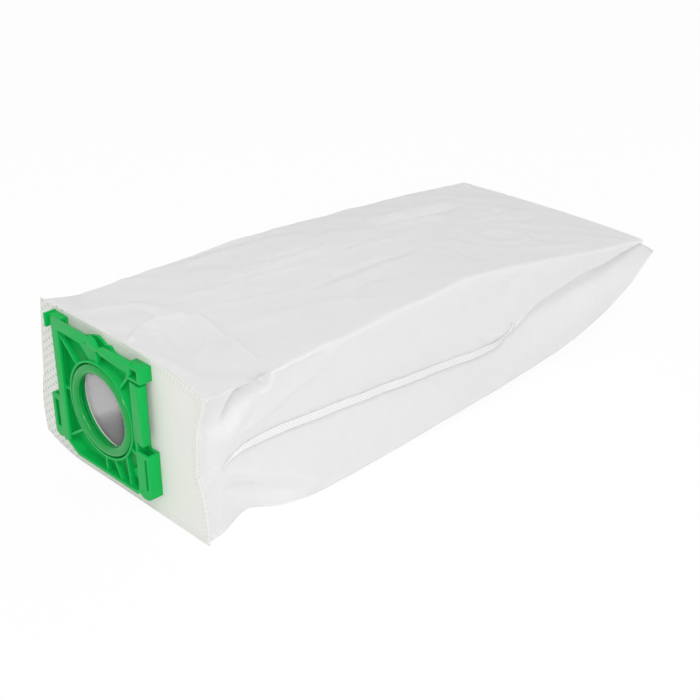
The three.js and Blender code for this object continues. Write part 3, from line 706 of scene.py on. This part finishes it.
class SleeveSettings(bpy.types.PropertyGroup):
    rows: IntProperty(name="Rows", description="Rows of cells along the sleeve", default=168,
                      min=60, max=200)
    thickness: FloatProperty(name="Fabric", description="Thickness of the fabric", default=0.0006,
                             min=0.0003, max=0.002, unit="LENGTH", precision=5)
    wrinkles: FloatProperty(name="Wrinkles", description="How deep the folds are, as a share",
                            default=1.0, min=0.0, max=1.5, subtype="FACTOR")
    colour: FloatVectorProperty(name="Fabric colour", description="Colour of the fabric",
                                default=linear("fefefe"), size=3, min=0, max=1, subtype="COLOR")
    glow: FloatProperty(name="Glow", description="Share of light that spreads inside the fabric",
                        default=1.0, min=0.0, max=1.0, subtype="FACTOR")
    flap_width: FloatProperty(name="Flap", description="Width of the welded flap along each side",
                              default=0.0049, min=0.003, max=0.012, unit="LENGTH", precision=4)


class PanelSettings(bpy.types.PropertyGroup):
    colour: FloatVectorProperty(name="Fleece colour",
                                description="Colour of the end panel's fleece",
                                default=linear("e2e3dd"), size=3, min=0, max=1, subtype="COLOR")
    dot_colour: FloatVectorProperty(name="Weld dots",
                                    description="Colour of the pressed dots of the border",
                                    default=linear("c2c6c6"), size=3, min=0, max=1, subtype="COLOR")
    dot_pitch: FloatProperty(name="Dot pitch",
                             description="Distance from dot to dot of the border's weld",
                             default=0.0060, min=0.002, max=0.01, unit="LENGTH", precision=4)


class CollarSettings(bpy.types.PropertyGroup):
    colour: FloatVectorProperty(name="Collar colour", description="Colour of the moulded collar",
                                default=linear("0aac4e"), size=3, min=0, max=1, subtype="COLOR")
    ring_colour: FloatVectorProperty(name="Ring colour", description="Colour of the sealing ring",
                                     default=linear("049740"), size=3, min=0, max=1,
                                     subtype="COLOR")
    rounding: FloatProperty(name="Edge rounding",
                            description="Size of the rounded edges of the moulding",
                            default=0.00035, min=0.0, max=0.001, unit="LENGTH", precision=5)


class StageSettings(bpy.types.PropertyGroup):
    lens: FloatProperty(name="Lens", description="Focal length of the camera, in millimetres",
                        default=63.25, min=20, max=200)
    key_power: FloatProperty(name="Key lamp",
                             description="Power of the soft lamp above the near corner",
                             default=31.0, min=0, max=200, unit="POWER")
    fill_power: FloatProperty(name="Fill lamp",
                              description="Power of the low lamp before the inlet", default=17.0,
                              min=0, max=200, unit="POWER")
    sky: FloatProperty(name="Sky", description="Strength of the even light from all round",
                       default=0.68, min=0, max=2)


class BAG_OT_sleeve(bpy.types.Operator):
    """Makes the fabric sleeve: a folded tube of cloth with tucked sides, closed flat at its tail"""

    bl_idname = "dustbag.sleeve"
    bl_label = "Fabric sleeve"

    def execute(self, context):
        settings = context.scene.bag_sleeve
        rows = settings.rows + 1
        grid = sleeve_points(rows, settings.wrinkles)
        points = to_row(grid)
        columns = points.shape[1]

        ring = np.concatenate([points, points[:, :1]], axis=1)
        steps = np.linalg.norm(np.diff(ring, axis=1), axis=2).mean(axis=0)
        girth = np.concatenate([[0], np.cumsum(steps)])

        def place(u, v):
            row = np.rint(v * (rows - 1)).astype(int)
            column = np.rint(u * columns).astype(int) % columns
            return points[row, column]

        def lay(u, v):
            return np.interp(u * columns, np.arange(columns + 1), girth), place(u, v)[:, 0]

        bm = bmesh.new()
        bend_grid(bm, columns, rows - 1, place, lay, closed=True)
        tail = max(v.co.x for v in bm.verts)
        rim = [e for e in bm.edges
               if e.is_boundary and all(abs(v.co.x - tail) < SAME_PLACE for v in e.verts)]
        bmesh.ops.holes_fill(bm, edges=rim, sides=0)
        cap = [f for f in bm.faces if len(f.verts) > 4]
        bmesh.ops.recalc_face_normals(bm, faces=bm.faces)
        face_out(bm, (0.0, 0.0, 0.1), (0, 0, 1))
        bmesh.ops.triangulate(bm, faces=cap, ngon_method="EAR_CLIP")
        fabric = spunbond_fabric(tuple(settings.colour), settings.glow)
        sleeve = finish_piece("sleeve_cloth", bm, fabric, smooth_angle=70)
        solidify(sleeve, settings.thickness)
        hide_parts("filter_sleeve")
        flaps = [self.flap(settings, grid, near) for near in (True, False)]
        return {"FINISHED"}

    def flap(self, settings, grid, near):
        """The welded flap of one side: a strip on the sleeve that ends at the tuck's mouth."""
        way = np.array(NEAR_FLAP if near else FAR_FLAP, float)
        out = -1 if near else 1
        steps = np.concatenate([[0], np.cumsum(np.hypot(*np.diff(way, axis=0).T))])
        along, up = through(list(zip(steps, way[:, 0]))), through(list(zip(steps, way[:, 1])))
        width = settings.flap_width / MM

        def place(u, v):
            s = v * steps[-1]
            step_x, step_z = along(s + 1) - along(s - 1), up(s + 1) - up(s - 1)
            size = np.maximum(np.hypot(step_x, step_z), 1e-6)
            # It starts nearly as a point, and narrows again at its end
            taper = (0.1 + 0.9 * smooth_step(0, 30, s)) * (1 - 0.45 * smooth_step(0.93, 1, v))
            off = (u - 0.5) * width * taper
            x, z = along(s) - step_z / size * off, up(s) + step_x / size * off
            # Its upper edge stands away from the sleeve, with a slight ripple
            stands = smooth_step(0, 0.08, v) * (1 - smooth_step(0.9, 1, v))
            proud = 0.25 + 0.95 * (1 - u) * stands
            proud += 0.12 * np.sin(s / 5.3) * (1 - u)
            return to_row(np.stack([x, side_place(grid, near, x, z) + proud * out, z], axis=-1))

        def lay(u, v):
            return u * settings.flap_width, v * steps[-1] * MM

        bm = bmesh.new()
        bend_grid(bm, 6, 150, place, lay)
        bm.faces.ensure_lookup_table()
        middle = bm.faces[len(bm.faces) // 2].calc_center_median()
        face_out(bm, middle, (0, out, 0))
        name = "seam_flap_near" if near else "seam_flap_far"
        strip = finish_piece(name, bm, welded_seam(linear(SEAM_WHITE)))
        solidify(strip, settings.thickness, offset=1.0)
        return strip


class BAG_OT_panel(bpy.types.Operator):
    """Makes the stiff fleece panel over the sleeve's square end, round the inlet's hole"""

    bl_idname = "dustbag.panel"
    bl_label = "End panel"

    def execute(self, context):
        settings = context.scene.bag_panel
        # The rim is the sleeve's first section, without points that nearly meet, and a margin
        halves = []
        for side, sign in ((NEAR, -1), (FAR, 1)):
            out, high = half_section(side, np.array([SLEEVE_START]))
            halves.append(np.stack([sign * out[0], high[0]], axis=1))
        rim = np.concatenate([halves[0], halves[1][::-1]])
        apart = np.hypot(*np.diff(rim, axis=0).T) > 0.3
        rim = rim[np.concatenate([[True], apart])]
        centre = np.array([INLET.y, INLET.z]) / MM
        arms = rim - centre
        reach = np.hypot(*arms.T)
        way = arms / reach[:, None]
        rim = centre + way * (reach[:, None] + PANEL_MARGIN)
        rim[:, 1] = np.maximum(rim[:, 1], 0.0)
        reach = np.hypot(*(rim - centre).T)
        closed = np.concatenate([rim, rim[:1]])
        lengths = np.concatenate([[0], np.cumsum(np.hypot(*np.diff(closed, axis=0).T))])
        rings = 36

        def flat_place(u, v):
            arm = np.rint(u * len(way)).astype(int) % len(way)
            return centre + way[arm] * (PANEL_HOLE + (reach[arm] - PANEL_HOLE) * v)[:, None]

        def place(u, v):
            y, z = flat_place(u, v).T
            bulge = 0.25 * np.sin(y / 23 + 1) * np.cos(z / 31) * smooth_step(0.25, 0.6, v)
            x = PANEL_THICK + np.minimum(bulge, 0.0) * (1 - smooth_step(0.9, 1, v))
            return to_row(np.stack([x, y, z], axis=-1))

        def lay(u, v):
            y, z = flat_place(u, v).T
            inward, _ = near_line(y, z, closed)
            return lengths[np.rint(u * len(way)).astype(int)] * MM, inward * MM

        bm = bmesh.new()
        bend_grid(bm, len(way), rings, place, lay, closed=True)
        face_out(bm, (PANEL_FACE, -0.06, 0.05), (-1, 0, 0))
        dot_colour = tuple(settings.dot_colour)
        fleece = stiff_fleece(tuple(settings.colour), dot_colour, settings.dot_pitch)
        panel = finish_piece("panel_fleece_sheet", bm, fleece, smooth_angle=60)
        solidify(panel, PANEL_THICK * MM, offset=1.0)
        edge = panel.modifiers.new("pressed edge", "BEVEL")
        edge.width = 0.0003
        edge.segments = 2
        edge.limit_method = "ANGLE"
        edge.angle_limit = math.radians(50)
        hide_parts("end_panel")
        return {"FINISHED"}


class BAG_OT_collar(bpy.types.Operator):
    """Makes the moulded collar with the small rounded edges that its mould leaves"""

    bl_idname = "dustbag.collar"
    bl_label = "Inlet collar"

    def execute(self, context):
        settings = context.scene.bag_collar
        bm = bmesh.new()
        bm.from_mesh(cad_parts["inlet_collar"].data)
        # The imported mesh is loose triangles, so its points and its flat faces are joined first
        join, flat, corner = 2e-6, math.radians(1.5), math.radians(28)
        bmesh.ops.remove_doubles(bm, verts=bm.verts, dist=join)
        bmesh.ops.dissolve_limit(bm, angle_limit=flat, verts=bm.verts, edges=bm.edges)
        corners = [e for e in bm.edges if e.is_manifold and e.calc_face_angle(0) > corner]
        bmesh.ops.bevel(bm, geom=corners, offset=settings.rounding, offset_type="OFFSET",
                        segments=2, profile=0.5, affect="EDGES", clamp_overlap=True, material=-1)
        colour = tuple(settings.colour)
        plastic = moulded_plastic("moulded_polypropylene", colour, roughness=0.34, gloss=0.14)
        collar = finish_piece("collar_moulding", bm, plastic, smooth_angle=40)
        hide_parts("inlet_collar")
        return {"FINISHED"}


class BAG_OT_ring(bpy.types.Operator):
    """Makes the sealing ring: a fat round lip of softer plastic, turned about the inlet's axis"""

    bl_idname = "dustbag.ring"
    bl_label = "Sealing ring"

    def execute(self, context):
        settings = context.scene.bag_collar
        front, back = RING_LOW.x, RING_HIGH.x
        outer = (RING_HIGH.z - RING_LOW.z) / 2
        bore, outer_wall, back_wall = 23 * MM, 3.3 * MM, 2.3 * MM
        crown, lip, roundness = 3.0 * MM, 4 * MM, 0.72
        profile = [(back, outer - back_wall), (back, outer)]
        middle, half = (outer + bore) / 2, (outer - bore) / 2
        steps = 16
        for i in range(steps + 1):
            turn = math.pi * i / steps
            bulge = abs(math.sin(turn)) ** roundness
            profile.append((front + crown * (1 - bulge), middle + half * math.cos(turn)))
        profile += [(front + lip, bore), (front + lip, outer - outer_wall)]
        bm = bmesh.new()
        verts = [bm.verts.new((x, INLET.y, INLET.z + r)) for x, r in profile]
        edges = [bm.edges.new((a, b)) for a, b in zip(verts, verts[1:] + verts[:1])]
        bmesh.ops.spin(bm, geom=verts + edges, cent=INLET, axis=(1, 0, 0), angle=math.tau,
                       steps=120, use_merge=True, dvec=(0, 0, 0))
        bmesh.ops.recalc_face_normals(bm, faces=bm.faces)
        colour = tuple(settings.ring_colour)
        plastic = moulded_plastic("soft_sealing_plastic", colour, roughness=0.22, gloss=0.32)
        ring = finish_piece("ring_moulding", bm, plastic, smooth_angle=40)
        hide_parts("sealing_ring")
        return {"FINISHED"}


class BAG_OT_stage(bpy.types.Operator):
    """Makes the white floor, the soft light and the camera"""

    bl_idname = "dustbag.stage"
    bl_label = "Stage"

    def execute(self, context):
        settings = context.scene.bag_stage
        self.floor()
        self.sky(context.scene, settings.sky)
        self.lamp("key_lamp", place=(-1.3, -1.7, 2.9), target=(0.0, 0.0, 0.05), size=1.2,
                  power=settings.key_power)
        self.lamp("fill_lamp", place=(-1.3, -1.69, 1.17), target=(-0.15, 0.05, 0.03), size=0.2,
                  power=settings.fill_power)
        camera = bpy.data.cameras.new("camera")
        camera.lens = settings.lens
        camera.sensor_width = 36
        holder = bpy.data.objects.new("camera", camera)
        holder.location = CAMERA_PLACE
        holder.rotation_euler = (math.radians(CAMERA_TILT), 0, math.radians(CAMERA_TURN))
        context.scene.collection.objects.link(holder)
        context.scene.camera = holder
        context.scene.view_settings.view_transform = "Standard"
        return {"FINISHED"}

    def floor(self):
        """A white floor that the camera sees nearly as its own white, so that it keeps a shadow."""
        plain_share, just_below = 0.92, -0.0003
        material, tree = new_material("white_floor")
        matt = add_node(tree, "ShaderNodeBsdfDiffuse", {"Color": (*linear("f4f4f4"), 1)})
        white = add_node(tree, "ShaderNodeEmission", {"Color": (1, 1, 1, 1), "Strength": 1.0})
        share = add_node(tree, "ShaderNodeMath", {
            0: self.seen(tree), 1: plain_share}, operation="MULTIPLY")
        both = add_node(tree, "ShaderNodeMixShader", {
            0: share.outputs["Value"], 1: matt.outputs["BSDF"], 2: white.outputs["Emission"]})
        add_node(tree, "ShaderNodeOutputMaterial", {"Surface": both.outputs["Shader"]})
        bm = bmesh.new()
        bmesh.ops.create_circle(bm, cap_ends=True, segments=96, radius=4.0,
                                matrix=Matrix.Translation((0, 0, just_below)))
        mesh = bpy.data.meshes.new("bag_floor")
        bm.to_mesh(mesh)
        bm.free()
        mesh.materials.append(material)
        piece = bpy.data.objects.new("bag_floor", mesh)
        bpy.context.scene.collection.objects.link(piece)

    def sky(self, scene, strength):
        """Even light from all round, which the camera sees as plain white."""
        world = bpy.data.worlds.new("studio")
        world.use_nodes = True
        tree = world.node_tree
        tree.nodes.clear()
        soft = add_node(tree, "ShaderNodeBackground", {"Color": (1, 1, 1, 1), "Strength": strength})
        white = add_node(tree, "ShaderNodeBackground", {"Color": (1, 1, 1, 1), "Strength": 1.0})
        both = add_node(tree, "ShaderNodeMixShader", {
            0: self.seen(tree), 1: soft.outputs["Background"], 2: white.outputs["Background"]})
        add_node(tree, "ShaderNodeOutputWorld", {"Surface": both.outputs["Shader"]})
        scene.world = world

    def seen(self, tree):
        """1 where the background is seen: by the camera, in a gloss or through a clear material."""
        path = add_node(tree, "ShaderNodeLightPath")
        mirrored = add_node(tree, "ShaderNodeMath", {
            0: path.outputs["Is Glossy Ray"], 1: path.outputs["Is Transmission Ray"]},
            operation="MAXIMUM")
        seen = add_node(tree, "ShaderNodeMath", {
            0: path.outputs["Is Camera Ray"], 1: mirrored.outputs["Value"]}, operation="MAXIMUM")
        return seen.outputs["Value"]

    def lamp(self, name, place, target, size, power):
        """A round soft lamp at a place, turned to its target."""
        light = bpy.data.lights.new(name, "AREA")
        light.shape = "DISK"
        light.size = size
        light.energy = power
        holder = bpy.data.objects.new(name, light)
        holder.location = place
        holder.rotation_euler = (Vector(target) - Vector(place)).to_track_quat("-Z", "Y").to_euler()
        bpy.context.scene.collection.objects.link(holder)


class BAG_PT_panel(bpy.types.Panel):
    """Lists the dust bag's operators with their settings"""

    bl_label = "Dust bag"
    bl_idname = "BAG_PT_panel"
    bl_space_type = "VIEW_3D"
    bl_region_type = "UI"
    bl_category = "Dust bag"

    def draw(self, context):
        for settings, operators in GROUPS:
            box = self.layout.box()
            for name in getattr(context.scene, settings).bl_rna.properties.keys():
                if name not in {"rna_type", "name"}:
                    box.prop(getattr(context.scene, settings), name)
            for operator in operators:
                box.operator(operator)


GROUPS = [
    ("bag_stage", ["dustbag.stage"]),
    ("bag_sleeve", ["dustbag.sleeve"]),
    ("bag_panel", ["dustbag.panel"]),
    ("bag_collar", ["dustbag.collar", "dustbag.ring"]),
]
SETTINGS = {
    "bag_stage": StageSettings,
    "bag_sleeve": SleeveSettings,
    "bag_panel": PanelSettings,
    "bag_collar": CollarSettings,
}
CLASSES = [*SETTINGS.values(), BAG_OT_stage, BAG_OT_sleeve, BAG_OT_panel, BAG_OT_collar,
           BAG_OT_ring, BAG_PT_panel]


def register():
    for item in CLASSES:
        bpy.utils.register_class(item)
    for name, group in SETTINGS.items():
        setattr(bpy.types.Scene, name, PointerProperty(type=group))


def unregister():
    for name in SETTINGS:
        delattr(bpy.types.Scene, name)
    for item in reversed(CLASSES):
        bpy.utils.unregister_class(item)


def main():
    register()
    bpy.ops.dustbag.stage()
    bpy.ops.dustbag.sleeve()
    bpy.ops.dustbag.panel()
    bpy.ops.dustbag.collar()
    bpy.ops.dustbag.ring()


if __name__ == "__main__":
    main()
